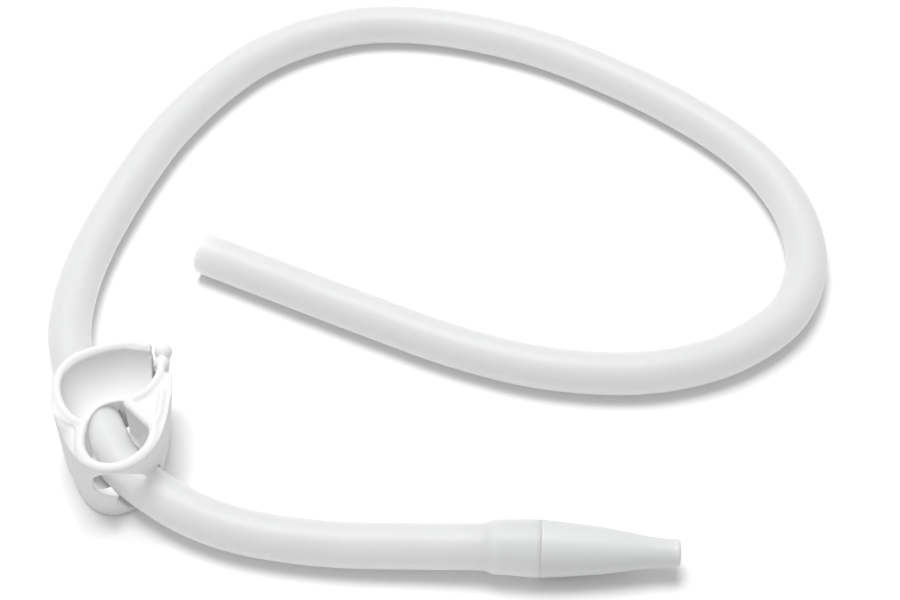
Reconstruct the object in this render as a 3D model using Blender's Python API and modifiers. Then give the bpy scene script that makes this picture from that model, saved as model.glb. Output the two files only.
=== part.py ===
"""Dental suction hose with a tapered saliva ejector tip and a two-lobed handpiece clip.

Three parts lie on a table at z = 0, with +X along the tip and +Z up, in metres:
  suction_hose    a silicone hose in one open loop, stretched over the tip's stem at its end
  ejector_tip     a hollow tapered plastic tip whose stem is pushed into the hose
  handpiece_clip  an upright moulded collar that the hose runs through
"""
import math

import bmesh
import bpy
import numpy as np
from mathutils import Vector

MM = 0.001
GAP = 0.3                  # clearance kept between touching parts
OVER = 5.0                 # how far a cutter runs past the face it opens

# Hose, in millimetres
HOSE_RADIUS = 5.6
HOSE_WALL = 1.6
CUFF_RADIUS = 7.0          # the hose's end, stretched over the stem
CUFF_LENGTH = 12.4
CUFF_FLARE = 2.4
HOSE_STEP = 13.5           # distance between the tube's sections
HOSE_ROUTE = [             # centreline, from the cut end to the end that holds the tip
    (-65.8, 1.5, 5.6), (-42.2, -10.0, 5.6), (-19.2, -21.1, 5.6), (3.3, -31.3, 5.6),
    (25.9, -38.2, 5.6), (49.2, -40.0, 5.6), (68.7, -36.0, 5.6), (83.7, -27.6, 5.6),
    (93.4, -17.0, 5.6), (98.6, -1.7, 5.6), (97.8, 14.5, 5.6), (92.7, 29.1, 5.6),
    (84.9, 41.4, 5.6), (71.7, 54.9, 5.6), (53.2, 69.2, 5.6), (28.7, 83.7, 5.6),
    (2.1, 92.7, 5.6), (-20.8, 94.7, 5.6), (-38.7, 90.2, 5.6), (-55.1, 80.6, 5.6),
    (-68.1, 66.7, 5.6), (-79.2, 49.5, 5.6), (-86.0, 34.6, 5.6), (-91.4, 19.8, 5.6),
    (-95.8, 5.0, 5.6), (-98.6, -10.3, 5.7), (-98.7, -26.6, 6.4), (-94.9, -41.2, 7.1),
    (-87.8, -55.8, 7.1), (-80.4, -69.3, 7.1), (-69.9, -78.5, 6.5), (-58.2, -85.2, 5.9),
    (-45.0, -89.4, 5.7), (-27.0, -92.1, 5.7), (-5.2, -93.1, 6.3), (11.0, -93.7, 7.1),
    (23.2, -94.2, 7.1),
]

# Tip, in millimetres along its axis from the hose's end face
TIP_TAPER = [              # distance from the shoulder, outer radius
    (0.0, 6.55), (0.5, 6.95), (3.9, 6.65), (9.7, 6.15), (14.5, 5.65), (19.4, 4.9),
    (24.2, 4.1), (29.0, 3.5), (32.4, 3.25), (33.2, 3.0), (33.4, 2.75),
]
TIP_BORE_RADIUS = 2.2
STEM_LENGTH = 11.0
STEM_RADIUS = 4.85
STEM_LEAD = 1.0            # tapered end of the stem, and how much it draws in
STEM_DRAW = 0.5
STEM_BORE_RADIUS = 3.6
THROAT = 12.0              # length of the narrow bore behind the tip's mouth

# Clip, in millimetres
CLIP_HEIGHT = 23.0
CLIP_FLOOR = 0.7
WALL_HALF = 0.9            # half the thickness of the collar's wall
CLIP_SKIN = [              # outside of the clip just below its rim
    (-74.0, -43.6), (-80.0, -42.9), (-86.8, -44.4), (-93.0, -47.8), (-96.3, -53.2),
    (-96.9, -59.0), (-95.6, -65.2), (-92.6, -71.2), (-89.8, -76.2), (-85.8, -80.8),
    (-80.0, -82.7), (-74.0, -81.0), (-69.8, -76.8), (-68.0, -71.0), (-67.2, -62.0),
    (-67.2, -53.0), (-68.4, -47.0),
]
BIG_LOBE = [               # middle of the collar's wall, from the slit to the left cusp
    (-74.1, -44.6), (-80.0, -43.9), (-86.5, -45.4), (-92.3, -48.6), (-95.4, -53.5),
    (-95.3, -59.3), (-92.9, -64.6), (-88.9, -68.0), (-87.4, -68.6),
]
SMALL_LOBE = [             # from the left cusp round to the right cusp
    (-87.4, -68.6), (-87.9, -72.5), (-86.8, -77.0), (-83.6, -80.7), (-79.4, -81.8),
    (-74.6, -79.9), (-71.0, -76.0), (-69.8, -71.5), (-71.0, -68.2), (-74.6, -65.0),
    (-77.6, -62.2),
]
LIP_ARM = [                # from the right cusp to the ball-ended bar
    (-77.6, -62.2), (-75.2, -60.3), (-72.3, -57.6), (-70.6, -54.0), (-70.0, -50.0),
    (-70.0, -46.8),
]
RIGHT_DRAFT = 2.0          # how far the skirt draws in at its foot, right and front
FRONT_DRAFT = 2.4
SLIT_X = -72.6
SLIT_WIDTH = 1.2
SLIT_DEPTH = 3.2           # how far the slit runs in past the bar's centre
BAR_RADIUS = 1.7
BALL_RADIUS = 2.0
BALL_NECK = 1.9            # from the ball's centre down to the full bar
WEB_DEPTH = 3.2            # how far the webs outside the cusps lie below the rim
WEB_SLOPE = 0.45           # the left web falls away from the cusp towards the skin
LEFT_WEB = [(-89.0, -69.4), (-88.8, -73.0), (-88.2, -77.0), (-86.5, -80.2), (-88.5, -82.0),
            (-99.0, -76.0), (-99.0, -60.0), (-95.9, -60.5), (-93.7, -65.0), (-91.4, -68.0)]
RIGHT_WEB = [(-75.9, -62.4), (-72.6, -65.2), (-70.6, -66.6), (-69.3, -66.0), (-69.2, -57.4),
             (-71.4, -58.6)]
BOWL_CENTRE = np.array([-84.0, -62.5])
BOWL_PULL = 0.48           # how far the big lobe's wall curves in towards that centre
BOWL_LIP = 14.3            # height of the bowl's lower edge, over the hose
BOWL_FADE = 0.3            # share of the big lobe, by the left cusp, where the pull fades
ARM_FADE = 0.45            # share of the lip arm, by the right cusp, where it fades
BORE_CLEARANCE = 0.9
TUNNEL = {"middle": (-85.5, -58.0), "half_width": 8.4, "top": 13.4, "corner": 5.6,
          "reach": (-40.0, 16.0)}
FRONT_ARCH = {"middle": (-79.6, -73.5), "half_width": 7.3, "top": 20.4, "corner": 5.2,
              "reach": (0.0, 16.0)}
HOSE_HEADING = -61.0       # degrees, the way the tunnel runs through the clip
CLIP_SEAT = (-87.8, -55.8, 7.1)    # hose centre inside the clip, where it slides


def clear_scene():
    for old in list(bpy.data.objects):
        bpy.data.objects.remove(old, do_unlink=True)


def new_collection(name):
    collection = bpy.data.collections.new(name)
    bpy.context.scene.collection.children.link(collection)
    return collection


def plastic(name, colour, roughness):
    material = bpy.data.materials.new(name)
    material.use_nodes = True
    shader = material.node_tree.nodes["Principled BSDF"]
    shader.inputs["Base Color"].default_value = (*colour, 1.0)
    shader.inputs["Roughness"].default_value = roughness
    shader.inputs["Metallic"].default_value = 0.0
    return material


def through(points, steps, closed=False):
    """Points on a smooth Catmull-Rom curve through the given ones, steps to each span."""
    points = np.array(points, dtype=float)
    if closed:
        padded = np.vstack([points[-1], points, points[:2]])
    else:
        padded = np.vstack([2 * points[0] - points[1], points, 2 * points[-1] - points[-2]])
    t = np.linspace(0.0, 1.0, steps, endpoint=False)[:, None]
    spans = []
    for a, b, c, d in zip(padded, padded[1:], padded[2:], padded[3:]):
        cubic = (3 * b - a - 3 * c + d) * t ** 3 + (2 * a - 5 * b + 4 * c - d) * t ** 2
        spans.append(0.5 * (cubic + (c - a) * t + 2 * b))
    curve = np.vstack(spans)
    return curve if closed else np.vstack([curve, points[-1]])


def along(points, distances):
    """The points at the given distances along a polyline."""
    lengths = np.linalg.norm(np.diff(points, axis=0), axis=1)
    travelled = np.concatenate([[0.0], np.cumsum(lengths)])
    return np.column_stack([np.interp(distances, travelled, axis) for axis in points.T])


def length_of(points):
    return float(np.linalg.norm(np.diff(points, axis=0), axis=1).sum())


def add_object(name, mesh, collection, material=None):
    obj = bpy.data.objects.new(name, mesh)
    collection.objects.link(obj)
    if material:
        mesh.materials.append(material)
    return obj


def hose_sections():
    """Centre and outer radius of each section of the hose, with extra ones at the cuff."""
    route = through(HOSE_ROUTE, 12)
    total = length_of(route)
    cuff_start = total - CUFF_LENGTH
    plain = np.linspace(0.0, cuff_start - CUFF_FLARE, round(total / HOSE_STEP))
    cuff = np.array([cuff_start, total - CUFF_LENGTH / 2, total])
    distances = np.concatenate([plain, cuff])
    radii = np.where(distances < cuff_start, HOSE_RADIUS, CUFF_RADIUS)
    return along(route, distances), radii


def make_hose(collection):
    """A bevelled curve without caps, thickened inwards, so the hose is a true tube."""
    centres, radii = hose_sections()
    curve = bpy.data.curves.new("suction_hose", "CURVE")
    curve.dimensions = "3D"
    curve.bevel_depth = HOSE_RADIUS * MM
    curve.bevel_resolution = 4
    curve.use_fill_caps = False
    spline = curve.splines.new("POLY")
    spline.points.add(len(centres) - 1)
    for point, centre, radius in zip(spline.points, centres, radii):
        point.co = (*(centre * MM), 1.0)
        point.radius = radius / HOSE_RADIUS
    curve.materials.append(plastic("milky_silicone", (0.80, 0.81, 0.81), 0.42))
    hose = bpy.data.objects.new("suction_hose", curve)
    collection.objects.link(hose)
    wall = hose.modifiers.new("wall", "SOLIDIFY")
    wall.thickness = HOSE_WALL * MM
    wall.offset = -1.0
    wall.use_even_offset = True
    return hose


def make_tip(collection):
    """A turned tube: tapered outside, stem behind the shoulder, and a bore right through."""
    reach = TIP_TAPER[-1][0]
    outside = [(radius, distance) for distance, radius in reversed(TIP_TAPER)]
    stem = [(STEM_RADIUS, 0.0), (STEM_RADIUS, -STEM_LENGTH + STEM_LEAD),
            (STEM_RADIUS - STEM_DRAW, -STEM_LENGTH)]
    bore = [(STEM_BORE_RADIUS, -STEM_LENGTH), (STEM_BORE_RADIUS, 0.0),
            (TIP_BORE_RADIUS, reach - THROAT), (TIP_BORE_RADIUS, reach)]
    profile = outside + stem + bore
    mesh = bpy.data.meshes.new("ejector_tip")
    vertices = [(radius * MM, 0.0, height * MM) for radius, height in profile]
    edges = [(k, (k + 1) % len(profile)) for k in range(len(profile))]
    mesh.from_pydata(vertices, edges, [])
    tip = add_object("ejector_tip", mesh, collection, plastic("white_plastic", (0.86, 0.87, 0.87), 0.3))
    turn = tip.modifiers.new("turned", "SCREW")
    turn.steps = 40
    turn.render_steps = 40
    turn.use_merge_vertices = True
    turn.merge_threshold = 0.00001
    turn.use_smooth_shade = True
    end = Vector(HOSE_ROUTE[-1])
    before = Vector(HOSE_ROUTE[-2])
    axis = (end - before).normalized()
    axis.z = 0.0
    tip.location = (end + axis.normalized() * GAP) * MM
    tip.rotation_mode = "QUATERNION"
    tip.rotation_quaternion = axis.to_track_quat("Z", "Y")
    return tip


def loft(name, rings, collection):
    """A closed solid through rings of the same count, from the lowest to the highest.

    Each ring is its outline with one height, or with a height for each of its points.
    """
    count = len(rings[0][0])
    vertices = []
    for outline, height in rings:
        heights = np.broadcast_to(height, count)
        vertices += [(x * MM, y * MM, z * MM) for (x, y), z in zip(outline, heights)]
    faces = [tuple(range(count)), tuple(range(len(vertices) - count, len(vertices)))]
    for low in range(0, len(vertices) - count, count):
        faces += [(low + k, low + (k + 1) % count, low + count + (k + 1) % count, low + count + k)
                  for k in range(count)]
    mesh = bpy.data.meshes.new(name)
    mesh.from_pydata(vertices, [], faces)
    form = bmesh.new()
    form.from_mesh(mesh)
    bmesh.ops.recalc_face_normals(form, faces=form.faces)
    form.to_mesh(mesh)
    form.free()
    return add_object(name, mesh, collection)


def prism(name, outline, low, high, collection):
    return loft(name, [(outline, low), (outline, high)], collection)


def offset(points, distance):
    """The polyline moved sideways, to the left of its direction for a positive distance."""
    step = np.gradient(points, axis=0)
    step /= np.linalg.norm(step, axis=1)[:, None]
    return points + distance * np.column_stack([-step[:, 1], step[:, 0]])


def rim_inside():
    """Inner face of the collar's wall at the rim, closed across the slit, and each point's pull.

    The pull is 1 where the wall below curves in to form the bowl, and 0 where it stays upright.
    """
    lines = [offset(through(line, 5), WALL_HALF) for line in (BIG_LOBE, SMALL_LOBE, LIP_ARM)]
    along_big = np.linspace(0.0, 1.0, len(lines[0]))
    along_arm = np.linspace(0.0, 1.0, len(lines[2]))
    pull = np.concatenate([np.clip((1.0 - along_big) / BOWL_FADE, 0.0, 1.0), np.zeros(len(lines[1])),
                           np.clip(along_arm / ARM_FADE, 0.0, 1.0)])
    return np.vstack(lines), pull * pull * (3 - 2 * pull)


def cavity_cutter(collection):
    """The cup: upright at the rim, curving in like a bowl down to the opening over the hose."""
    rim, pull = rim_inside()
    rings = [(rim, CLIP_HEIGHT + OVER)]
    for angle in np.radians([0.0, 20.0, 40.0, 60.0, 78.0, 90.0]):
        inward = (BOWL_PULL * (1 - math.cos(angle)) * pull)[:, None]
        rings.append((rim + inward * (BOWL_CENTRE - rim),
                      CLIP_HEIGHT - (CLIP_HEIGHT - BOWL_LIP) * math.sin(angle)))
    rings.append((rings[-1][0], HOSE_RADIUS + CLIP_FLOOR))
    return loft("clip_cavity", rings[::-1], collection)


def skin_outline():
    return through(CLIP_SKIN, 4, closed=True)


def skin_foot(skin):
    """The skirt's foot: the skin drawn in from the right and from the front."""
    left, back = skin[:, 0].min(), skin[:, 1].max()
    width, depth = np.ptp(skin[:, 0]), np.ptp(skin[:, 1])
    return np.column_stack([left + (skin[:, 0] - left) * (1 - RIGHT_DRAFT / width),
                            back + (skin[:, 1] - back) * (1 - FRONT_DRAFT / depth)])


def arch_cutter(name, arch, collection):
    """A rod with a rounded box section that lies along the hose, from the floor to its top."""
    high = (arch["top"] - CLIP_FLOOR) / 2
    wide, corner = arch["half_width"], arch["corner"]
    outline = []
    for quarter, (side, rise) in enumerate([(1, 1), (-1, 1), (-1, -1), (1, -1)]):
        for angle in np.radians(np.linspace(0.0, 90.0, 6) + 90.0 * quarter):
            outline.append((side * (wide - corner) + corner * math.cos(angle),
                            rise * (high - corner) + corner * math.sin(angle)))
    start, end = arch["reach"]
    rod = prism(name, outline, -end, -start, collection)
    heading = math.radians(HOSE_HEADING)
    rod.location = Vector((*arch["middle"], CLIP_FLOOR + high)) * MM
    rod.rotation_euler = (math.radians(90.0), 0.0, heading - math.radians(90.0))
    return rod


def bore_cutter(collection):
    """The hose's own path through the clip, wide enough to slide along."""
    seat = HOSE_ROUTE.index(CLIP_SEAT)
    path = through(HOSE_ROUTE[seat - 3:seat + 4], 6)
    curve = bpy.data.curves.new("bore_path", "CURVE")
    curve.dimensions = "3D"
    curve.bevel_depth = (HOSE_RADIUS + BORE_CLEARANCE) * MM
    curve.bevel_resolution = 6
    curve.use_fill_caps = True
    spline = curve.splines.new("POLY")
    spline.points.add(len(path) - 1)
    for point, centre in zip(spline.points, path):
        point.co = (*(centre * MM), 1.0)
    rod = bpy.data.objects.new("bore_path", curve)
    collection.objects.link(rod)
    bpy.context.view_layer.update()
    evaluated = rod.evaluated_get(bpy.context.evaluated_depsgraph_get())
    mesh = bpy.data.meshes.new_from_object(evaluated)
    form = bmesh.new()
    form.from_mesh(mesh)
    bmesh.ops.remove_doubles(form, verts=form.verts, dist=0.00001)
    bmesh.ops.recalc_face_normals(form, faces=form.faces)
    for vertex in form.verts:
        vertex.co.z = max(vertex.co.z, CLIP_FLOOR * MM)
    form.to_mesh(mesh)
    form.free()
    cutter = add_object("clip_bore", mesh, collection)
    cutter.matrix_world = rod.matrix_world
    bpy.data.objects.remove(rod, do_unlink=True)
    return cutter


def ball_bar(collection):
    """The round bar beside the slit, turned in one piece with the ball on its top."""
    neck = CLIP_HEIGHT - BALL_RADIUS
    angles = np.linspace(90.0, -50.0, 8)
    ball = [(BALL_RADIUS * math.cos(math.radians(a)), neck + BALL_RADIUS * math.sin(math.radians(a)))
            for a in angles]
    ball[0] = (0.0, CLIP_HEIGHT)
    profile = ball + [(BAR_RADIUS, neck - BALL_NECK), (BAR_RADIUS, GAP), (0.0, GAP)]
    mesh = bpy.data.meshes.new("ball_bar")
    vertices = [(radius * MM, 0.0, height * MM) for radius, height in profile]
    mesh.from_pydata(vertices, [(k, k + 1) for k in range(len(profile) - 1)], [])
    bar = add_object("ball_bar", mesh, collection)
    bar.location = (LIP_ARM[-1][0] * MM, LIP_ARM[-1][1] * MM, 0.0)
    turn = bar.modifiers.new("turned", "SCREW")
    turn.steps = 20
    turn.render_steps = 20
    turn.use_merge_vertices = True
    turn.merge_threshold = 0.00001
    return bar


def slit_cutter(collection):
    """The slit beside the back wall's end, with the corner outside the bar cut away."""
    back = max(y for _, y in CLIP_SKIN) + OVER
    right = max(x for x, _ in CLIP_SKIN) + OVER
    left, bar_side, bar_y = SLIT_X - SLIT_WIDTH / 2, SLIT_X + SLIT_WIDTH / 2, LIP_ARM[-1][1]
    outline = [(left, bar_y - SLIT_DEPTH), (bar_side, bar_y - SLIT_DEPTH), (bar_side, bar_y),
               (right, bar_y), (right, back), (left, back)]
    return prism("clip_slit", outline, CLIP_FLOOR, CLIP_HEIGHT + OVER, collection)


def combine(target, tool, operation):
    step = target.modifiers.new(tool.name, "BOOLEAN")
    step.operation = operation
    step.object = tool
    step.solver = "EXACT"


def make_clip(collection, tools):
    skin = skin_outline()
    clip = loft("handpiece_clip", [(skin_foot(skin), 0.0), (skin, CLIP_HEIGHT)], collection)
    clip.data.materials.append(plastic("satin_white_plastic", (0.85, 0.86, 0.86), 0.36))
    top = CLIP_HEIGHT + OVER
    web = CLIP_HEIGHT - WEB_DEPTH
    sloping = [web + 1.2 + WEB_SLOPE * (x - LEFT_WEB[0][0]) for x, _ in LEFT_WEB]
    cuts = [
        cavity_cutter(tools),
        loft("clip_left_web", [(LEFT_WEB, sloping), (LEFT_WEB, top)], tools),
        prism("clip_right_web", RIGHT_WEB, web, top, tools),
        arch_cutter("clip_tunnel", TUNNEL, tools),
        arch_cutter("clip_front_arch", FRONT_ARCH, tools),
        bore_cutter(tools),
        slit_cutter(tools),
    ]
    for cutter in cuts:
        combine(clip, cutter, "DIFFERENCE")
    combine(clip, ball_bar(tools), "UNION")
    return clip


def hide_tools(tools):
    for tool in tools.objects:
        tool.hide_render = True
        tool.display_type = "WIRE"


def main():
    clear_scene()
    parts = new_collection("saliva_ejector_hose")
    tools = new_collection("cutters")
    make_hose(parts)
    make_tip(parts)
    make_clip(parts, tools)
    hide_tools(tools)


main()
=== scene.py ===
"""Dental suction hose in milky silicone, with a tapered ejector tip and a two-lobed handpiece clip.

The hose is a tube carried along its route and the tip is turned from a profile. The clip is made of
lofts and beads that are carved and fused, then softened into one moulded piece. Lengths are in
millimetres until a mesh is finished. +X is the way the tip points, +Z is up, the table is at z = 0.
"""
import math

import bpy
import numpy as np
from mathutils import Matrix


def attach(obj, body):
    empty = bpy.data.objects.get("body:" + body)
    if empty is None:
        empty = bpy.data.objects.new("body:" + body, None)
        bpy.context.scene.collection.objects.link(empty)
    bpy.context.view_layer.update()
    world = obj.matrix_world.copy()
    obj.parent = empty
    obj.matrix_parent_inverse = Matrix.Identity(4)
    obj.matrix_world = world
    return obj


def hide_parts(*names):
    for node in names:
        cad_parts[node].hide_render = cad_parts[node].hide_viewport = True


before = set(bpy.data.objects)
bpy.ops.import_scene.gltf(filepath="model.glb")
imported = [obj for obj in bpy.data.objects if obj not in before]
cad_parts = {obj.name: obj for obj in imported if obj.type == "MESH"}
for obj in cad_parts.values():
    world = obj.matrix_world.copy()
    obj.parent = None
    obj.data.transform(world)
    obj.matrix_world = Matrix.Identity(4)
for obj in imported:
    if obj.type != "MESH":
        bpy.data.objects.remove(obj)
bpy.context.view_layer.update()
MM = 0.001

# Hose, from its cut end to the end that holds the tip
HOSE_RADIUS = 5.6
HOSE_WALL = 1.6
HOSE_ROUTE = [
    (-65.8, 1.5, 5.6), (-42.2, -10.0, 5.6), (-19.2, -21.1, 5.6), (3.3, -31.3, 5.6),
    (25.9, -38.2, 5.6), (49.2, -40.0, 5.6), (68.7, -36.0, 5.6), (83.7, -27.6, 5.6),
    (93.4, -17.0, 5.6), (98.6, -1.7, 5.6), (97.8, 14.5, 5.6), (92.7, 29.1, 5.6),
    (84.9, 41.4, 5.6), (71.7, 54.9, 5.6), (53.2, 69.2, 5.6), (28.7, 83.7, 5.6),
    (2.1, 92.7, 5.6), (-20.8, 94.7, 5.6), (-38.7, 90.2, 5.6), (-55.1, 80.6, 5.6),
    (-68.1, 66.7, 5.6), (-79.2, 49.5, 5.6), (-86.0, 34.6, 5.6), (-91.4, 19.8, 5.6),
    (-95.8, 5.0, 5.6), (-98.6, -10.3, 5.7), (-98.7, -26.6, 6.4), (-94.9, -41.2, 7.1),
    (-87.8, -55.8, 7.1), (-80.4, -69.3, 7.1), (-69.9, -78.5, 6.5), (-58.2, -85.2, 5.9),
    (-45.0, -89.4, 5.7), (-27.0, -92.1, 5.7), (-5.2, -93.1, 6.3), (11.0, -93.7, 7.1),
    (23.2, -94.2, 7.1),
]
CUFF = [                    # distance back from the hose's end, outer radius over the stem
    (0.0, 6.93), (2.5, 6.93), (5.0, 6.80), (8.0, 6.66), (10.6, 6.60), (11.6, 6.45), (12.6, 6.05),
    (13.6, 5.75), (15.5, 5.66), (19.0, 5.60),
]

# Tip, along its axis from the hose's end
TIP_GAP = 0.03
TIP_TAPER = [               # distance from the shoulder, outer radius
    (0.0, 6.84), (0.1, 6.92), (0.3, 6.96), (3.9, 6.66), (6.8, 6.43), (9.7, 6.15), (12.1, 5.92),
    (14.5, 5.65), (17.0, 5.3), (19.4, 4.9), (21.8, 4.52), (24.2, 4.12), (26.6, 3.76), (29.0, 3.5),
    (31.0, 3.34), (31.9, 3.28), (32.1, 3.36), (32.7, 3.34), (33.1, 3.18), (33.32, 2.95), (33.4, 2.7),
]
STEM = [(0.0, 4.85), (-8.6, 4.85), (-9.0, 4.95), (-9.9, 4.8), (-10.8, 4.4), (-11.0, 4.2)]
BORE = [(-11.0, 3.75), (-10.8, 3.6), (0.0, 3.6), (12.0, 2.9), (21.4, 2.2), (32.8, 2.2), (33.2, 2.3),
        (33.4, 2.5)]

# Clip
RIM = 23.0
CLEAR = 28.0                # height above the rim where the cuts made from above begin
FLOOR = 0.7
WALL_HALF = 0.9
SKIN_INSET = 0.35           # the skin lies this far inside the beads that crown it
SHOULDER = 22.3             # height of the skin's top, under the crown of the beads
SKIN = [
    (-74.0, -43.6), (-80.0, -42.9), (-86.8, -44.4), (-93.0, -47.8), (-96.3, -53.2),
    (-96.9, -59.0), (-95.6, -65.2), (-92.6, -71.2), (-89.8, -76.2), (-85.8, -80.8),
    (-80.0, -82.7), (-74.0, -81.0), (-69.8, -76.8), (-67.6, -71.0), (-66.6, -62.0),
    (-66.8, -54.5), (-69.0, -48.4),
]
RIGHT_DRAFT = 3.5
FRONT_DRAFT = 2.4
BIG_LOBE = [(-74.1, -44.6), (-80.0, -43.9), (-86.5, -45.4), (-92.3, -48.6), (-95.4, -53.5),
            (-95.3, -59.3), (-92.9, -64.6), (-88.9, -68.0), (-87.4, -68.6)]
SMALL_LOBE = [(-87.4, -68.6), (-87.9, -72.5), (-86.8, -77.0), (-83.6, -80.7), (-79.4, -81.8),
              (-74.6, -79.9), (-71.0, -76.0), (-69.8, -71.5), (-71.0, -68.2), (-74.6, -65.0),
              (-77.6, -62.2)]
LIP_ARM = [(-77.6, -62.2), (-75.2, -60.3), (-72.3, -57.6), (-70.6, -54.0), (-70.0, -50.0),
           (-70.0, -46.8)]
BIG_BEAD = (1.4, 1.1)      # radii of the rounded beads along the rim, at their two ends
SMALL_BEAD = (1.1, 1.42, 1.48, 1.25)
ARM_BEAD = (1.15, 1.15)
RIDGE_BEAD = (0.95, 0.95)
BIG_BEAD_LINE = [(-74.6, -44.2), (-77.6, -43.4), (-81.8, -43.8), (-86.0, -44.9), (-89.4, -46.3),
                 (-92.5, -48.2), (-94.8, -51.3), (-95.6, -55.2), (-95.1, -59.1), (-93.5, -62.9),
                 (-91.3, -65.9), (-89.1, -67.5), (-87.6, -68.0)]
SMALL_BEAD_LINE = [(-87.2, -67.9), (-87.5, -70.0), (-87.6, -73.2), (-87.0, -76.0), (-85.2, -79.0),
                   (-82.6, -80.6), (-79.8, -81.1), (-76.4, -80.4), (-73.4, -78.2), (-71.3, -75.8),
                   (-70.1, -72.5), (-70.2, -69.3), (-72.2, -67.1), (-74.9, -64.4), (-77.3, -61.9)]
ARM_BEAD_LINE = [(-77.5, -61.7), (-75.4, -60.2), (-72.8, -58.0), (-71.1, -55.0), (-70.3, -52.2),
                 (-70.4, -50.0)]
RIDGE_LINE = [(-69.2, -58.6), (-69.2, -62.0), (-69.4, -65.5), (-70.1, -68.8)]
COLLAR = {"from": (-70.5, -50.3), "to": (-70.5, -47.6), "radius": 2.05}
BALL = {"centre": (-70.5, -45.0), "radius": 2.25}
SLIT = {"left": -73.3, "right": -72.1, "depth": 3.4, "corner": -45.6}
PERCH_TOP = 20.3            # height of the wall that the collar and the ball stand on
LEFT_WEB_INNER = [(-95.2, -62.2), (-93.9, -65.4), (-91.9, -67.8), (-89.4, -69.2), (-88.9, -72.8),
                  (-88.3, -76.6), (-86.6, -80.0), (-84.6, -81.9)]
LEFT_WEB_OUTER = [(-98.6, -61.8), (-97.6, -66.0), (-95.8, -70.2), (-93.8, -74.2), (-91.8, -77.6),
                  (-89.4, -81.0), (-86.8, -83.4), (-85.0, -84.0)]
LEFT_WEB_TOP = 21.6
LEFT_WEB_FALL = 9.0
RIGHT_WEB = [(-76.0, -62.4), (-72.8, -65.2), (-70.9, -66.4), (-70.0, -65.0), (-69.9, -58.4),
             (-71.6, -58.8)]
RIGHT_WEB_TOP = 22.0
BIG_LIP = [(-76.5, -55.6), (-80.3, -54.9), (-83.8, -55.2), (-86.3, -56.8), (-87.8, -59.0),
           (-88.5, -61.8), (-88.4, -65.0), (-87.4, -67.6), (-86.6, -68.7)]
ARM_LIP = [(-78.3, -62.0), (-76.9, -61.0), (-75.6, -59.4), (-75.2, -58.0), (-75.2, -56.8),
           (-75.6, -56.0)]
BOWL_LIP = 13.25
LEDGE = 10.6                # height of the ledge beside the hose, inside the lobes
TUNNEL = {"middle": (-85.5, -58.0), "reach": (-40.0, -12.0),
          "outline": [(-7.6, 0.72), (-7.6, 8.0), (-6.4, 10.2), (-4.0, 11.4), (4.0, 11.4),
                      (6.4, 10.2), (7.6, 8.0), (7.6, 0.72)]}
FRONT_ARCH = {"middle": (-79.6, -73.5), "reach": (-0.5, 16.3),
              "outline": [(-7.8, 12.5), (-7.6, 16.5), (-6.3, 19.4), (-4.3, 20.4), (-1.8, 19.8),
                          (1.2, 17.6), (3.6, 14.6), (4.6, 11.6), (2.0, 9.6), (-2.0, 9.7),
                          (-5.0, 10.2), (-7.0, 11.0)]}
CHEEK = {             # two outlines, at the hose's flank and under the lobe's wall
    6.0: [(-79.0, -61.4), (-77.6, -64.0), (-76.1, -68.0), (-74.6, -72.0), (-73.4, -75.6),
          (-71.6, -76.0), (-70.6, -72.0), (-70.2, -66.0), (-71.2, -61.5), (-75.2, -60.0)],
    20.4: [(-77.2, -62.0), (-75.0, -64.2), (-72.6, -66.5), (-70.7, -69.0), (-70.0, -72.8),
           (-69.4, -73.4), (-69.1, -70.0), (-69.1, -66.0), (-71.2, -61.9), (-75.0, -60.9)]}
POCKET = {"middle": (-79.6, -73.5), "reach": (-5.0, 3.2),
          "outline": [(-6.6, 4.0), (-6.6, 11.4), (-3.0, 11.4), (-3.0, 4.0)]}
PIT = [(-82.4, -54.6), (-79.2, -54.9), (-77.6, -57.0), (-77.9, -59.5), (-79.4, -61.0),
       (-80.8, -58.8)]      # the deep gap between the hose and the finger's end
PIT_RISE = (0.78, 14.0)
HOSE_HEADING = -61.0
SEAT = 28                   # the route's point inside the clip
SLIDES = np.linspace(-1.0, 6.0, 13)       # how far the hose shifts in the clip as it slides
SLIDE_LINE = (0.5, -0.866025, 0.0)
SIDE_CLEARANCE = 0.2
TOP_CLEARANCE = 0.12
FOOT_RIM_LINE = [(-93.0, -67.6), (-91.8, -70.6), (-89.6, -74.4), (-86.6, -77.8), (-82.0, -79.7),
                 (-77.6, -78.6), (-74.8, -76.2)]
MOULD_VOXEL = 0.30          # grain at which the clip's parts are fused
MOULD_SOFTNESS = 9          # rounds of smoothing over its edges

CAMERA_RISE = 50.0
CAMERA_DISTANCE = 502.7
CAMERA_TARGET = (1.5, -10.5, 0.0)
CAMERA_LENS = 74.0

# Studio, in metres and watts
TABLE_HALF = 1.6
SKY = 0.47
TOP_LIGHT = {"position": (-0.15, 0.24, 1.2), "size": 0.7, "power": 13.0}


# Shapes

def smooth_curve(points, steps, closed=False):
    """Catmull-Rom curve: each span is the cubic that leaves and meets its ends along the line
    between their neighbours."""
    points = np.array(points, dtype=float)
    if closed:
        padded = np.vstack([points[-1], points, points[:2]])
    else:
        padded = np.vstack([2 * points[0] - points[1], points, 2 * points[-1] - points[-2]])
    t = np.linspace(0.0, 1.0, steps, endpoint=False)[None, :, None]
    a, b, c, d = (padded[k:len(padded) - 3 + k, None] for k in range(4))
    spans = 0.5 * ((3 * b - a - 3 * c + d) * t ** 3 + (2 * a - 5 * b + 4 * c - d) * t ** 2
                   + (c - a) * t + 2 * b)
    curve = spans.reshape(-1, points.shape[1])
    return curve if closed else np.vstack([curve, points[-1]])


def travelled(points):
    return np.concatenate([[0.0], np.cumsum(np.linalg.norm(np.diff(points, axis=0), axis=1))])


def at_distances(points, distances):
    run = travelled(points)
    return np.column_stack([np.interp(distances, run, axis) for axis in points.T])


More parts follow.
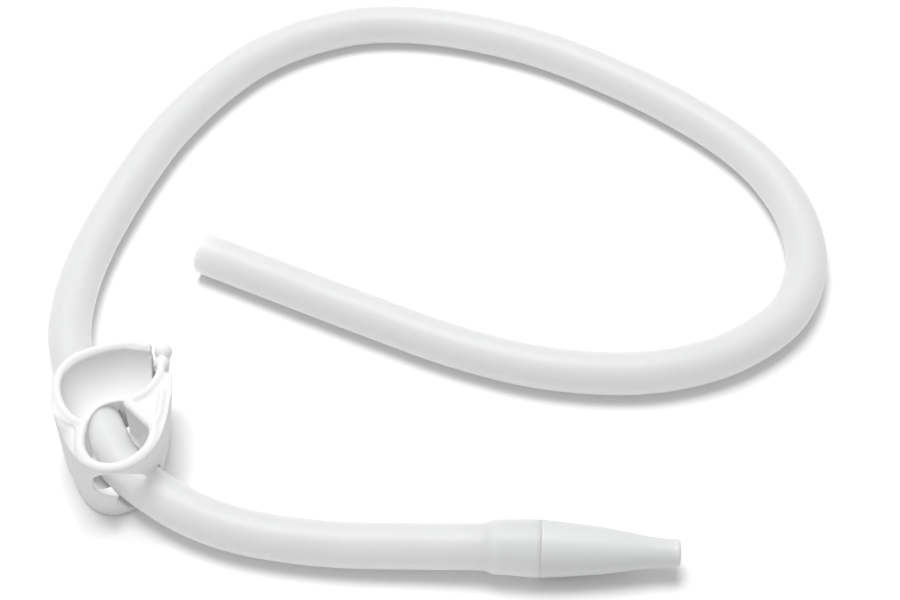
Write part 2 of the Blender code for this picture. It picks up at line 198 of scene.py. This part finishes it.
def evenly(points, count):
    return at_distances(points, np.linspace(0.0, travelled(points)[-1], count))


def unit(vectors):
    return vectors / np.linalg.norm(vectors, axis=-1, keepdims=True)


def carried(path, radii, around):
    """A circle carried along a path: centre + radius * (cos a * side + sin a * up), where side is
    level and square to the path."""
    ahead = unit(np.gradient(path, axis=0))
    side = unit(np.cross(ahead, [0.0, 0.0, 1.0]))
    up = np.cross(side, ahead)
    angle = np.linspace(0.0, 2 * math.pi, around, endpoint=False)
    circle = np.cos(angle)[None, :, None] * side[:, None] + np.sin(angle)[None, :, None] * up[:, None]
    return path[:, None] + np.asarray(radii)[:, None, None] * circle


def grid_mesh(name, grid, closed_rows=False, capped=False, scale=1.0, runs=None):
    """Quads between neighbours on a grid of points whose columns wrap round. Rows wrap too, or end in
    caps. Faces are turned over if the volume they enclose, a sixth of the sum of their corners'
    triple products, comes out negative. runs gives each row its place along the surface, which
    goes with the column's angle into the UV map."""
    rows, columns = grid.shape[:2]
    index = np.arange(rows * columns).reshape(rows, columns)
    index = np.hstack([index, index[:, :1]])
    if closed_rows:
        index = np.vstack([index, index[:1]])
    quads = np.stack([index[:-1, :-1], index[:-1, 1:], index[1:, 1:], index[1:, :-1]], axis=-1)
    quads = quads.reshape(-1, 4)
    points = grid.reshape(-1, 3)
    a, b, c, d = (points[quads[:, k]] for k in range(4))
    volume = np.einsum("ij,ij->", a, np.cross(b, c) + np.cross(c, d))
    turned_over = volume < 0
    if turned_over:
        quads = quads[:, ::-1]
    faces = quads.tolist()
    if capped:
        first, last = list(range(columns)), list(range((rows - 1) * columns, rows * columns))
        faces += [first, last[::-1]] if turned_over else [first[::-1], last]
    mesh = bpy.data.meshes.new(name)
    mesh.from_pydata((points * scale).tolist(), [], faces)
    if runs is not None:
        run = np.append(runs, runs[0]) if closed_rows else np.asarray(runs)
        turn = np.linspace(0.0, 1.0, columns + 1)
        u, v = np.meshgrid(run, turn, indexing="ij")
        place = np.stack([u, v], axis=-1)
        corners = np.stack([place[:-1, :-1], place[:-1, 1:], place[1:, 1:], place[1:, :-1]], axis=2)
        corners = corners.reshape(-1, 4, 2)
        if turned_over:
            corners = corners[:, ::-1]
        layer = mesh.uv_layers.new(name="along")
        layer.uv.foreach_set("vector", corners.reshape(-1).astype(np.float32))
    return mesh


def place(name, mesh):
    piece = bpy.data.objects.new(name, mesh)
    bpy.context.scene.collection.objects.link(piece)
    return piece


def finish_smooth(piece, sharp_angle):
    piece.data.shade_smooth()
    piece.data.set_sharp_from_angle(angle=math.radians(sharp_angle))


# Hose and tip

def hose_piece():
    """Outer wall and bore as one surface: two tubes on the same path, joined by the rounded rings at
    their ends. The radius follows the cuff's profile near the tip."""
    route = smooth_curve(HOSE_ROUTE, 14)
    total = travelled(route)[-1]
    round_off = np.array([0.0, 0.02, 0.06, 0.12, 0.2])
    from_end = np.concatenate([np.arange(0.8, 20.0, 0.55), round_off])
    distances = np.unique(np.concatenate([round_off, np.arange(1.2, total - 20.0, 2.1),
                                          total - from_end]))
    path = at_distances(route, distances)
    back = total - distances
    reach, radius = np.array(CUFF).T
    outer = np.interp(back, reach, radius)
    inner = outer - HOSE_WALL
    edge = 0.2 - np.sqrt(np.clip(0.04 - (0.2 - np.minimum(np.minimum(distances, back), 0.2)) ** 2,
                                 0.0, None))
    grid = np.concatenate([carried(path, outer - edge, 60), carried(path, inner + edge, 60)[::-1]])
    runs = np.concatenate([distances, distances[::-1]]) * MM
    hose = place("silicone_hose", grid_mesh("silicone_hose", grid, closed_rows=True, scale=MM,
                                            runs=runs))
    finish_smooth(hose, 50.0)
    return hose, path * MM, total * MM


def tip_piece():
    """A profile turned about the tip's axis: out along the stem, over the shoulder and down the taper,
    round the mouth and back up the bore."""
    start, end = np.array(HOSE_ROUTE[-2]), np.array(HOSE_ROUTE[-1])
    axis = unit((end - start) * (1.0, 1.0, 0.0))
    taper = smooth_curve(TIP_TAPER[2:16], 6)
    outside = np.vstack([TIP_TAPER[:2], taper, smooth_curve(TIP_TAPER[16:], 4)])
    profile = np.vstack([np.array(STEM[::-1])[:-1], [(0.0, 4.85)], outside, np.array(BORE)[::-1]])
    path = end + axis * (TIP_GAP + profile[:, :1])
    side = np.array([axis[1], -axis[0], 0.0])
    angle = np.linspace(0.0, 2 * math.pi, 112, endpoint=False)[None, :, None]
    circle = np.cos(angle) * side + np.sin(angle) * np.array([0.0, 0.0, 1.0])
    grid = path[:, None] + profile[:, 1:, None] * circle
    runs = travelled(profile) * MM
    tip = place("tapered_tip", grid_mesh("tapered_tip", grid, closed_rows=True, scale=MM, runs=runs))
    finish_smooth(tip, 38.0)
    return tip


# Clip

def beside(points, distance):
    """The line moved sideways, to the left of its direction for a positive distance."""
    step = unit(np.gradient(points, axis=0))
    return points + distance * np.column_stack([-step[:, 1], step[:, 0]])


def at_height(outline, height):
    return np.column_stack([outline, np.broadcast_to(height, len(outline))])


def loft(name, rings):
    return place(name, grid_mesh(name, np.array(rings), capped=True))


def prism(name, outline, low, high):
    outline = np.array(outline)
    return loft(name, [at_height(outline, low), at_height(outline, high)])


def bead(name, line, sizes, around=20):
    """A round bead that crowns the rim along a line, its radius running through the given sizes. Its
    ends close like a ball: radius * sqrt(1 - d * d), where d runs from 0 to 1 past each end."""
    path = smooth_curve(line, 10)
    path = evenly(path, max(12, int(travelled(path)[-1] / 0.45)))
    share = np.linspace(0.0, 1.0, len(path))
    radii = np.interp(share, np.linspace(0.0, 1.0, len(sizes)), sizes)
    path = at_height(path, RIM - radii)
    out = np.array([0.995, 0.92, 0.75, 0.5, 0.25])
    head = path[0] - unit(path[1] - path[0]) * sizes[0] * out[:, None]
    tail = path[-1] + unit(path[-1] - path[-2]) * sizes[-1] * out[::-1, None]
    closing = np.sqrt(1 - out ** 2)
    radii = np.concatenate([closing * sizes[0], radii, closing[::-1] * sizes[-1]])
    return loft(name, carried(np.vstack([head, path, tail]), radii, around))


def skin_block():
    """The skirt: the skin's outline, drawn in at its foot from the right and from the front."""
    skin = smooth_curve(SKIN, 8, closed=True)
    doubled = np.vstack([skin, skin[:2]])
    inset = beside(doubled, SKIN_INSET)[1:-1]
    foot_low, foot_size = skin.min(axis=0), np.ptp(skin, axis=0)
    back = skin[:, 1].max()
    narrowing = 1 - np.array([RIGHT_DRAFT, FRONT_DRAFT]) / foot_size
    foot = np.column_stack([foot_low[0] + (skin[:, 0] - foot_low[0]) * narrowing[0],
                            back + (skin[:, 1] - back) * narrowing[1]])
    foot = np.roll(foot, -1, axis=0)
    edge = 0.5
    centre = foot.mean(axis=0)
    tucked = foot + unit(centre - foot) * edge * 0.6
    return loft("clip_skirt", [at_height(tucked, 0.0), at_height(foot, edge), at_height(inset, SHOULDER)])


def cup():
    """The cup inside the rim. The big lobe's wall sweeps in to the lip over the hose: at an angle q
    it has gone the share 0.8 * (1 - cos q) + 0.2 * sin q of the way there and down by depth * sin q.
    The small lobe's wall stays upright."""
    lobes = [beside(smooth_curve(line, 9), WALL_HALF) for line in (BIG_LOBE, SMALL_LOBE, LIP_ARM)]
    lips = [smooth_curve(BIG_LIP, 9), lobes[1], smooth_curve(ARM_LIP, 9)]
    rim, lip = np.vstack(lobes), np.vstack(lips)
    rings = [at_height(rim, CLEAR)]
    for angle in np.radians(np.linspace(0.0, 90.0, 15)):
        share = 0.8 * (1 - math.cos(angle)) + 0.2 * math.sin(angle)
        rings.append(at_height(rim + share * (lip - rim), RIM - (RIM - BOWL_LIP) * math.sin(angle)))
    rings.append(at_height(lip, LEDGE))
    return loft("clip_cup", rings)


def arch(name, form):
    """A tunnel along the hose: an outline in the plane square to the hose's heading, given as how far
    right of the hose and how high, and carried straight along the heading."""
    outline = smooth_curve(form["outline"], 6)
    heading = math.radians(HOSE_HEADING)
    ahead = np.array([math.cos(heading), math.sin(heading), 0.0])
    right = np.array([-ahead[1], ahead[0], 0.0])
    middle = np.array([*form["middle"], 0.0])
    section = outline[:, :1] * right + outline[:, 1:] * np.array([0.0, 0.0, 1.0])
    return loft(name, [middle + ahead * reach + section for reach in form["reach"]])


def hose_passage(slide):
    """The hose's own path through the clip, shifted as the clip slides: a tube wider than the hose,
    pressed down to just clear its top, and flat at the clip's floor."""
    path = smooth_curve(HOSE_ROUTE[SEAT - 4:SEAT + 5], 8)
    tube = carried(path, np.full(len(path), HOSE_RADIUS + SIDE_CLEARANCE), 48)
    over = tube[..., 2] - path[:, None, 2]
    press = (HOSE_RADIUS + TOP_CLEARANCE) / (HOSE_RADIUS + SIDE_CLEARANCE)
    tube[..., 2] = np.maximum(path[:, None, 2] + np.where(over > 0, over * press, over), FLOOR)
    return loft("clip_passage", tube + slide * np.array(SLIDE_LINE))


def slit_cut():
    """The slit beside the back wall's end, with the corner behind the ball cut away."""
    back, right = -38.0, -62.0
    inner = LIP_ARM[-1][1] - SLIT["depth"]
    outline = [(SLIT["left"], inner), (SLIT["right"], inner), (SLIT["right"], SLIT["corner"]),
               (right, SLIT["corner"]), (right, back), (SLIT["left"], back)]
    return prism("clip_slit", outline, FLOOR, CLEAR)


def perch_cut():
    """Lowers the wall round the collar and the ball, which then stand clear of it."""
    outline = [(-73.6, -50.9), (-72.0, -51.6), (-69.0, -52.6), (-60.0, -53.5), (-60.0, -40.0),
               (-73.6, -40.0)]
    return prism("clip_perch", outline, PERCH_TOP, CLEAR)


def left_web_cut():
    """Everything over the left web, whose height falls away from the cusp as top - fall * u ** 2,
    with u from 0 at the beads to 1 at the skin."""
    inner = evenly(smooth_curve(LEFT_WEB_INNER, 8), 40)
    outer = evenly(smooth_curve(LEFT_WEB_OUTER, 8), 40)
    u = np.linspace(0.0, 1.0, 14)[None, :, None]
    spread = inner[:, None] * (1 - u) + outer[:, None] * u
    width = np.linalg.norm(outer - inner, axis=1)[:, None, None]
    start = np.clip(np.linspace(0.0, 1.0, 40) / 0.3, 0.0, 1.0)[:, None, None]
    lift = 1.9 * (1 - start * start * (3 - 2 * start))
    height = LEFT_WEB_TOP + lift - LEFT_WEB_FALL * np.clip(width / 6.0, 0.0, 1.0) * start * u ** 2
    low = np.concatenate([spread, np.broadcast_to(height, spread.shape[:2] + (1,))], axis=2)
    high = np.concatenate([spread, np.full(spread.shape[:2] + (1,), CLEAR)], axis=2)
    return loft("clip_left_web", np.concatenate([low, high[:, ::-1]], axis=1))


def ball_end():
    """The ball at the end of the lip arm, a circle of radius sqrt(r * r - d * d) carried along it."""
    radius = BALL["radius"]
    d = radius * np.cos(np.linspace(math.pi - 0.05, 0.05, 20))
    path = np.column_stack([np.full(20, BALL["centre"][0]), BALL["centre"][1] + d,
                            np.full(20, RIM - radius)])
    return loft("clip_ball", carried(path, np.sqrt(radius ** 2 - d ** 2), 32))


def collar_ring():
    """The collar behind the ball, a short drum with rounded edges."""
    (x, low), (_, high) = COLLAR["from"], COLLAR["to"]
    run = np.array([0.0, 0.08, 0.3, 0.6, 1.8, 2.1, 2.32, 2.4]) * (high - low) / 2.4
    drop = np.array([0.6, 0.3, 0.08, 0.0, 0.0, 0.08, 0.3, 0.6])
    path = np.column_stack([np.full(8, x), low + run, np.full(8, RIM - COLLAR["radius"])])
    return loft("clip_collar", carried(path, COLLAR["radius"] - drop, 32))


def bar_post():
    """The wall under the collar and the ball, a round post that leans in towards its foot."""
    turn = np.linspace(0.0, 2 * math.pi, 28, endpoint=False)
    ring = np.column_stack([1.6 * np.cos(turn), 1.6 * np.sin(turn), np.zeros(28)])
    return loft("clip_post", [ring + foot for foot in ((-73.6, -47.6, 1.0), (-71.2, -46.6, 14.0),
                                                       (-70.4, -46.0, RIM - 2.6))])


def cheek(name, outlines):
    """A wall that leans from the hose's flank out to the rim, between outlines at two heights."""
    return loft(name, [at_height(np.array(line), height) for height, line in outlines.items()])


def foot_rim():
    """The rounded rim along the nose's foot, thickest in the middle of its run."""
    path = at_height(smooth_curve(FOOT_RIM_LINE, 8), 0.95)
    share = np.linspace(0.0, 1.0, len(path))
    return loft("clip_foot_rim", carried(path, 0.35 + 0.6 * np.sin(math.pi * share) ** 0.6, 16))


def clip_piece():
    """Skirt less cup, webs and tunnel, with the cheek and the foot rim added, then less the pit, the
    pocket, the arch, the slit, the perch and the hose's passage at each slide, and last the beads,
    collar, ball and post. All of it is fused on a fine grid and softened."""
    body = skin_block()
    steps = [(tool, "DIFFERENCE") for tool in (
        cup(), left_web_cut(), prism("clip_right_web", RIGHT_WEB, RIGHT_WEB_TOP, CLEAR),
        arch("clip_tunnel", TUNNEL))]
    steps += [(cheek("clip_cheek", CHEEK), "UNION"), (foot_rim(), "UNION")]
    steps += [(tool, "DIFFERENCE") for tool in (
        prism("clip_pit", PIT, *PIT_RISE), arch("clip_pocket", POCKET),
        arch("clip_front_arch", FRONT_ARCH), slit_cut(), perch_cut(),
        *(hose_passage(slide) for slide in SLIDES))]
    steps += [(tool, "UNION") for tool in (
        bead("clip_big_bead", BIG_BEAD_LINE, BIG_BEAD),
        bead("clip_small_bead", SMALL_BEAD_LINE, SMALL_BEAD),
        bead("clip_arm_bead", ARM_BEAD_LINE, ARM_BEAD),
        bead("clip_ridge", RIDGE_LINE, RIDGE_BEAD),
        collar_ring(), ball_end(), bar_post())]
    for tool, operation in steps:
        step = body.modifiers.new(tool.name, "BOOLEAN")
        step.operation = operation
        step.object = tool
        step.solver = "MANIFOLD"
    fuse = body.modifiers.new("fuse", "REMESH")
    fuse.mode = "VOXEL"
    fuse.voxel_size = MOULD_VOXEL
    soften = body.modifiers.new("soften", "SMOOTH")
    soften.factor = 0.5
    soften.iterations = MOULD_SOFTNESS
    bpy.context.view_layer.update()
    mesh = bpy.data.meshes.new_from_object(body.evaluated_get(bpy.context.evaluated_depsgraph_get()))
    for tool in [tool for tool, _ in steps] + [body]:
        bpy.data.objects.remove(tool, do_unlink=True)
    points = np.empty(len(mesh.vertices) * 3, dtype=np.float32)
    mesh.vertices.foreach_get("co", points)
    points = points.reshape(-1, 3)
    points[:, 2] = np.clip(points[:, 2], 0.0, RIM)
    mesh.vertices.foreach_set("co", (points * MM).reshape(-1))
    mesh.name = "moulded_clip"
    mesh.update()
    clip = place("moulded_clip", mesh)
    mesh.shade_smooth()
    return clip


# Finishes

class Amount:
    """A number that varies over a surface. Arithmetic on it adds Math nodes."""

    def __init__(self, finish, socket):
        self.finish = finish
        self.socket = socket

    def worked(self, operation, *others):
        return self.finish.node("ShaderNodeMath", {"operation": operation},
                                {k: value for k, value in enumerate(others)})

    def __add__(self, other):
        return self.worked("ADD", self, other)

    def __mul__(self, other):
        return self.worked("MULTIPLY", self, other)

    __radd__ = __add__
    __rmul__ = __mul__


class Finish:
    """A material under construction."""

    def __init__(self, name, **fixed):
        self.material = bpy.data.materials.new(name)
        self.material.use_nodes = True
        self.nodes = self.material.node_tree.nodes
        self.links = self.material.node_tree.links
        self.shader = self.nodes["Principled BSDF"]
        for socket, value in fixed.items():
            self.shader.inputs[socket.replace("_", " ")].default_value = value

    def feed(self, socket, value):
        if isinstance(value, Amount):
            self.links.new(value.socket, socket)
        else:
            socket.default_value = value

    def node(self, kind, settings, values, output=0):
        """Adds one node: its settings first, then the values or links of its sockets."""
        made = self.nodes.new(kind)
        for setting, value in settings.items():
            if setting == "stops":
                for stop, (position, colour) in zip(made.color_ramp.elements, value):
                    stop.position = position
                    stop.color = colour
            else:
                setattr(made, setting, value)
        for socket, value in values.items():
            self.feed(made.inputs[socket], value)
        return Amount(self, made.outputs[output])

    def noise(self, place, scale, detail, roughness=0.5):
        return self.node("ShaderNodeTexNoise", {"noise_dimensions": "3D"},
                         {"Vector": place, "Scale": scale, "Detail": detail, "Roughness": roughness})

    def blended(self, share, first, second):
        """A colour between two, by share."""
        return self.node("ShaderNodeMix", {"data_type": "RGBA"}, {0: share, 6: first, 7: second}, 2)

    def stretched(self, place, scale):
        return self.node("ShaderNodeMapping", {}, {"Vector": place, "Scale": scale})

    def surface(self, colour, roughness, height, depth):
        """Feeds the colour, the roughness and a bump of the given depth in metres."""
        self.feed(self.shader.inputs["Base Color"], colour)
        self.feed(self.shader.inputs["Roughness"], roughness)
        bump = self.node("ShaderNodeBump", {}, {"Strength": 1.0, "Distance": depth, "Height": height})
        self.feed(self.shader.inputs["Normal"], bump)
        return self.material


def milky_silicone():
    """Translucent silicone: cloudy depth, lines drawn along the tube by the die, a dull bloom, and a
    painted glow.
    """
    # Painted glow: the constant white emission stands in for light passing through the silicone and lifts
    # the tube's shaded underside.
    finish = Finish("milky_silicone", Subsurface_Weight=0.9, Subsurface_Scale=0.009,
                    Subsurface_Radius=(1.0, 0.95, 0.9), IOR=1.41,
                    Emission_Color=(1.0, 1.0, 1.0, 1.0), Emission_Strength=0.16)
    here = finish.node("ShaderNodeTexCoord", {}, {}, 3)
    along = finish.node("ShaderNodeUVMap", {"uv_map": "along"}, {})
    cloud = finish.noise(here, 55.0, 3.0)
    bloom = finish.noise(here, 260.0, 4.0, 0.6)
    drawn = finish.noise(finish.stretched(along, (18.0, 34.0, 1.0)), 3.0, 3.0, 0.6)
    grain = finish.noise(here, 2600.0, 2.0)
    colour = finish.blended(cloud * 0.7 + drawn * 0.3, (0.50, 0.504, 0.504, 1.0),
                            (0.54, 0.544, 0.543, 1.0))
    roughness = 0.34 + bloom * 0.16 + drawn * 0.06
    return finish.surface(colour, roughness, drawn * 0.3 + grain * 0.2 + cloud * 0.6, 0.00006)


def bright_plastic():
    """The tip's smooth white plastic, with faint rings left by the turning of its mould."""
    finish = Finish("bright_white_plastic", Subsurface_Weight=0.3, Subsurface_Scale=0.002,
                    Subsurface_Radius=(1.0, 1.0, 1.0), IOR=1.49)
    here = finish.node("ShaderNodeTexCoord", {}, {}, 3)
    along = finish.node("ShaderNodeUVMap", {"uv_map": "along"}, {})
    rings = finish.noise(finish.stretched(along, (420.0, 0.4, 1.0)), 1.0, 2.0)
    cloud = finish.noise(here, 120.0, 3.0)
    colour = finish.blended(cloud, (0.66, 0.666, 0.668, 1.0), (0.69, 0.696, 0.697, 1.0))
    roughness = 0.33 + cloud * 0.12 + rings * 0.06
    return finish.surface(colour, roughness, rings * 0.3 + cloud * 0.7, 0.00002)


def satin_plastic():
    """The clip's satin white plastic: a fine spark-eroded grain, flow clouds, duller patches and a faint
    painted glow.
    """
    # Painted glow: the constant white emission lifts the clip's walls and hollows where they fall in
    # shade.
    finish = Finish("satin_white_plastic", Subsurface_Weight=0.85, Subsurface_Scale=0.006,
                    Subsurface_Radius=(1.0, 1.0, 1.0), IOR=1.49,
                    Emission_Color=(1.0, 1.0, 1.0, 1.0), Emission_Strength=0.07)
    here = finish.node("ShaderNodeTexCoord", {}, {}, 3)
    cloud = finish.noise(here, 85.0, 3.0)
    grain = finish.noise(here, 3200.0, 3.0, 0.6)
    flow = finish.noise(finish.stretched(here, (140.0, 140.0, 420.0)), 1.0, 3.0)
    colour = finish.blended(cloud * 0.6 + flow * 0.4, (0.545, 0.55, 0.551, 1.0),
                            (0.58, 0.585, 0.586, 1.0))
    roughness = 0.33 + cloud * 0.12 + grain * 0.08
    return finish.surface(colour, roughness, grain * 0.5 + flow * 0.5, 0.00006)


def table_white():
    finish = Finish("table_white")
    here = finish.node("ShaderNodeTexCoord", {}, {}, 3)
    tone = finish.noise(here, 3.0, 2.0)
    colour = finish.blended(tone, (0.93, 0.93, 0.93, 1.0), (0.95, 0.95, 0.95, 1.0))
    finish.feed(finish.shader.inputs["Base Color"], colour)
    finish.feed(finish.shader.inputs["Roughness"], 0.7 + tone * 0.1)
    return finish.material


# Studio

def camera():
    rise = math.radians(CAMERA_RISE)
    eye = bpy.data.objects.new("camera", bpy.data.cameras.new("camera"))
    bpy.context.scene.collection.objects.link(eye)
    x, y, z = CAMERA_TARGET
    eye.location = (x * MM, (y - CAMERA_DISTANCE * math.cos(rise)) * MM,
                    (z + CAMERA_DISTANCE * math.sin(rise)) * MM)
    eye.rotation_euler = (math.radians(90.0) - rise, 0.0, 0.0)
    eye.data.lens = CAMERA_LENS
    eye.data.sensor_width = 36.0
    eye.data.clip_start = 0.01
    bpy.context.scene.camera = eye


def lamp(name, position, size, power):
    """A square soft light that faces the middle of the table."""
    light = bpy.data.lights.new(name, "AREA")
    light.size = size
    light.energy = power
    holder = bpy.data.objects.new(name, light)
    bpy.context.scene.collection.objects.link(holder)
    holder.location = position
    x, y, z = position
    holder.rotation_euler = (math.acos(z / math.sqrt(x * x + y * y + z * z)), 0.0,
                             math.atan2(y, x) + math.pi / 2)
    return holder


def studio():
    corners = [(x * TABLE_HALF, y * TABLE_HALF, 0.0) for x, y in ((-1, -1), (1, -1), (1, 1), (-1, 1))]
    mesh = bpy.data.meshes.new("table")
    mesh.from_pydata(corners, [], [(0, 1, 2, 3)])
    table = place("table", mesh)
    mesh.materials.append(table_white())
    world = bpy.data.worlds.new("studio")
    world.use_nodes = True
    world.node_tree.nodes["Background"].inputs["Color"].default_value = (1.0, 1.0, 1.0, 1.0)
    world.node_tree.nodes["Background"].inputs["Strength"].default_value = SKY
    bpy.context.scene.world = world
    lamp("top_light", **TOP_LIGHT)
    bpy.context.scene.view_settings.view_transform = "Standard"


def main():
    camera()
    hose, path, length = hose_piece()
    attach(hose, "hose")
    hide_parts("suction_hose")
    hose.data.materials.append(milky_silicone())
    tip = tip_piece()
    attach(tip, "tip")
    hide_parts("ejector_tip")
    tip.data.materials.append(bright_plastic())
    clip = clip_piece()
    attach(clip, "clip")
    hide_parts("handpiece_clip")
    clip.data.materials.append(satin_plastic())
    studio()


main()
